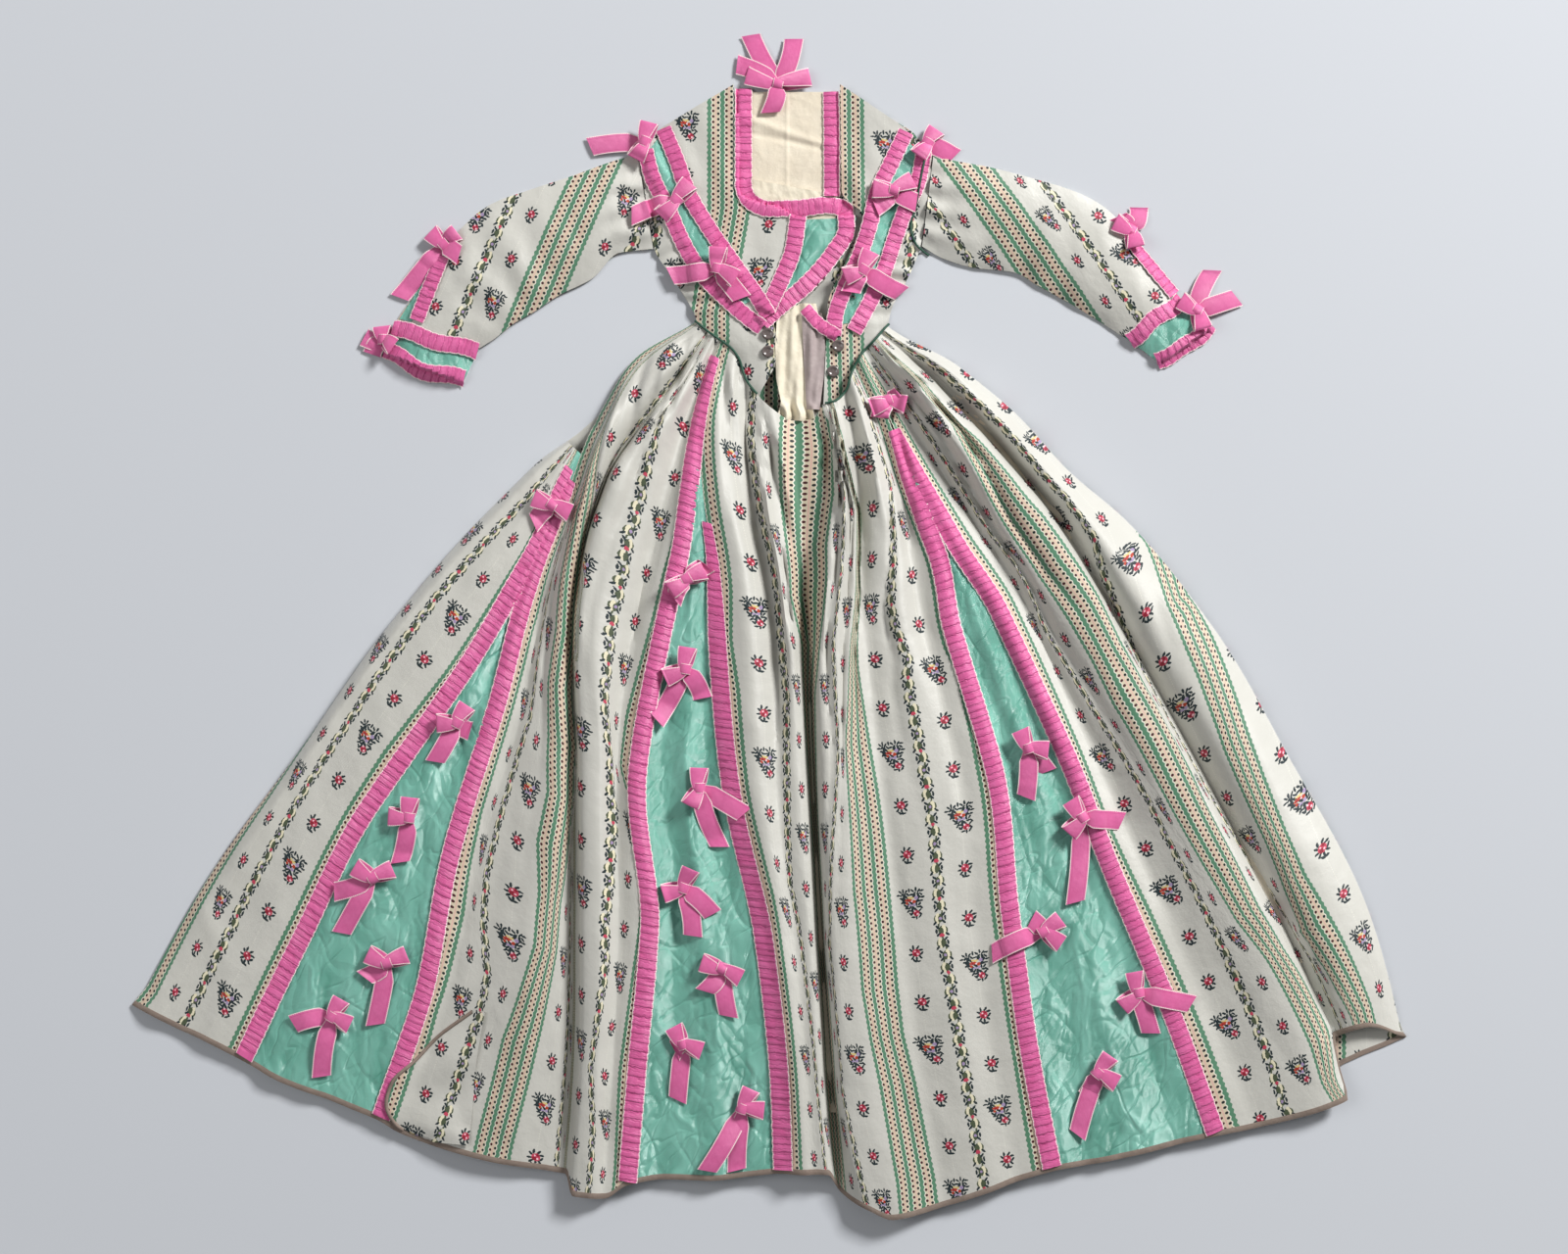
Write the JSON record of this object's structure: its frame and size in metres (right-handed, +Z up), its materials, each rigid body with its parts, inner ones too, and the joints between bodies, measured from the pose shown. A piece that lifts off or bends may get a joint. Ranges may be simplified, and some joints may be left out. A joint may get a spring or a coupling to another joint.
{
  "type": "robe a la francaise",
  "caption": "Eighteenth-century style silk gown laid out flat, with a pointed bodice, elbow sleeves, a gathered full skirt with gores, and ruched ribbon and bow trimming.",
  "frame": {"origin": "centre of the laid-out gown's bounding box, on the surface it lies on", "axes": "+X towards the side of the wearer's left arm, +Y from the hem towards the neck, +Z up from the surface"},
  "size_m": [1.5604, 1.4526, 0.0593],
  "materials": {
    "brocade": "ribbed silk, striped and flowered",
    "taffeta": "crisp silk taffeta with a sheen",
    "ribbon": "ribbed silk ribbon",
    "lining": "plain linen",
    "gauze": "sheer silk gauze",
    "binding": "plain tape",
    "button": "polished dark horn"
  },
  "bodies": {
    "root": {"bodice_back": "brocade", "bodice_front_left": "brocade", "bodice_front_right": "brocade", "bodice_lining": "lining", "bow_cuff_right": "ribbon", "bow_elbow_left": "ribbon", "bow_gore_centre_1": "ribbon", "bow_gore_centre_2": "ribbon", "bow_gore_centre_3": "ribbon", "bow_gore_centre_4": "ribbon", "bow_gore_left_1": "ribbon", "bow_gore_left_2": "ribbon", "bow_gore_left_3": "ribbon", "bow_gore_left_4": "ribbon", "bow_gore_right_1": "ribbon", "bow_gore_right_2": "ribbon", "bow_gore_right_3": "ribbon", "bow_neck": "ribbon", "button_left_1": "button", "button_left_2": "button", "button_right_1": "button", "button_right_2": "button", "cuff_left": "taffeta", "cuff_right": "taffeta", "gauze": "gauze", "gore_centre": "taffeta", "gore_left": "taffeta", "gore_right": "taffeta", "ribbon_cuff_left_lower": "ribbon", "ribbon_cuff_left_upper": "ribbon", "ribbon_cuff_right_lower": "ribbon", "ribbon_cuff_right_upper": "ribbon", "ribbon_gore_centre_left": "ribbon", "ribbon_gore_centre_right": "ribbon", "ribbon_gore_left_inner": "ribbon", "ribbon_gore_left_outer": "ribbon", "ribbon_gore_right_inner": "ribbon", "ribbon_gore_right_outer": "ribbon", "ribbon_neck_left": "ribbon", "ribbon_neck_right": "ribbon", "ribbon_robing_left_inner": "ribbon", "ribbon_robing_left_outer": "ribbon", "ribbon_robing_right_inner": "ribbon", "ribbon_robing_right_outer": "ribbon", "ribbon_stomacher": "ribbon", "robing_left": "taffeta", "robing_right": "taffeta", "skirt_back": "brocade", "skirt_hem_binding": "binding", "skirt_hidden_layers": "brocade", "skirt_panel_centre": "brocade", "skirt_panel_left": "brocade", "skirt_panel_left_front": "brocade", "skirt_panel_right": "brocade", "sleeve_left_top": "brocade", "sleeve_left_under": "brocade", "sleeve_right_top": "brocade", "sleeve_right_under": "brocade", "stomacher": "taffeta"}
  },
  "joints": []
}
